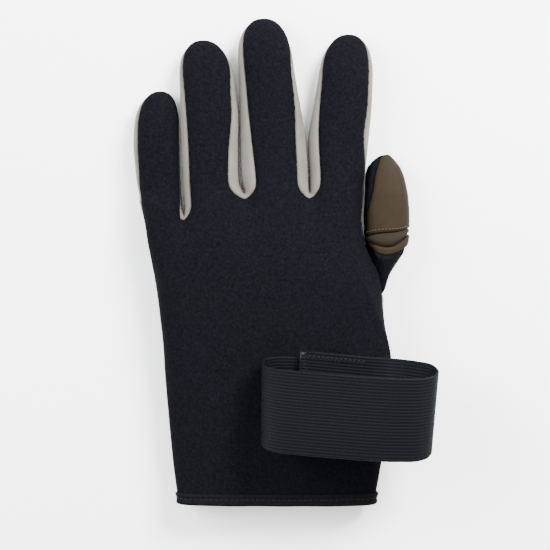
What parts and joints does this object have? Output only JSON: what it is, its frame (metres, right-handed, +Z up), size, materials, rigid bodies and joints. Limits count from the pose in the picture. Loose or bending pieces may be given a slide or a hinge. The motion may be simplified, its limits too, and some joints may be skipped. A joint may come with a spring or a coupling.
{
  "type": "fishing glove",
  "caption": "Left-hand neoprene fishing glove lying palm down, with suede palm and finger sides, fold-back thumb cap and looped elastic wrist strap.",
  "frame": {"origin": "middle of the underside of the glove's bounding box, on the surface it lies on", "axes": "+X to the thumb side, +Y to the fingertips, +Z up through the back of the hand"},
  "size_m": [0.1502, 0.2426, 0.0471],
  "materials": {
    "neoprene": "knitted jersey over foam, matt",
    "suede": "napped synthetic suede",
    "brown_suede": "napped synthetic suede",
    "dark_suede": "napped synthetic suede",
    "binding_tape": "woven stretch tape",
    "elastic_webbing": "ribbed elastic webbing",
    "hook_tape": "hook side of a touch fastener"
  },
  "bodies": {
    "root": {"back_panel": "neoprene", "wrist_panel": "neoprene", "thumb_shell": "neoprene", "palm_panel": "suede", "little_ring_gusset": "suede", "ring_middle_gusset": "suede", "middle_index_gusset": "suede", "thumb_lip": "brown_suede", "thumb_cap": "brown_suede", "thumb_underlap": "dark_suede", "cuff_binding": "binding_tape", "wrist_strap": "elastic_webbing", "hook_patch": "hook_tape"}
  },
  "joints": []
}
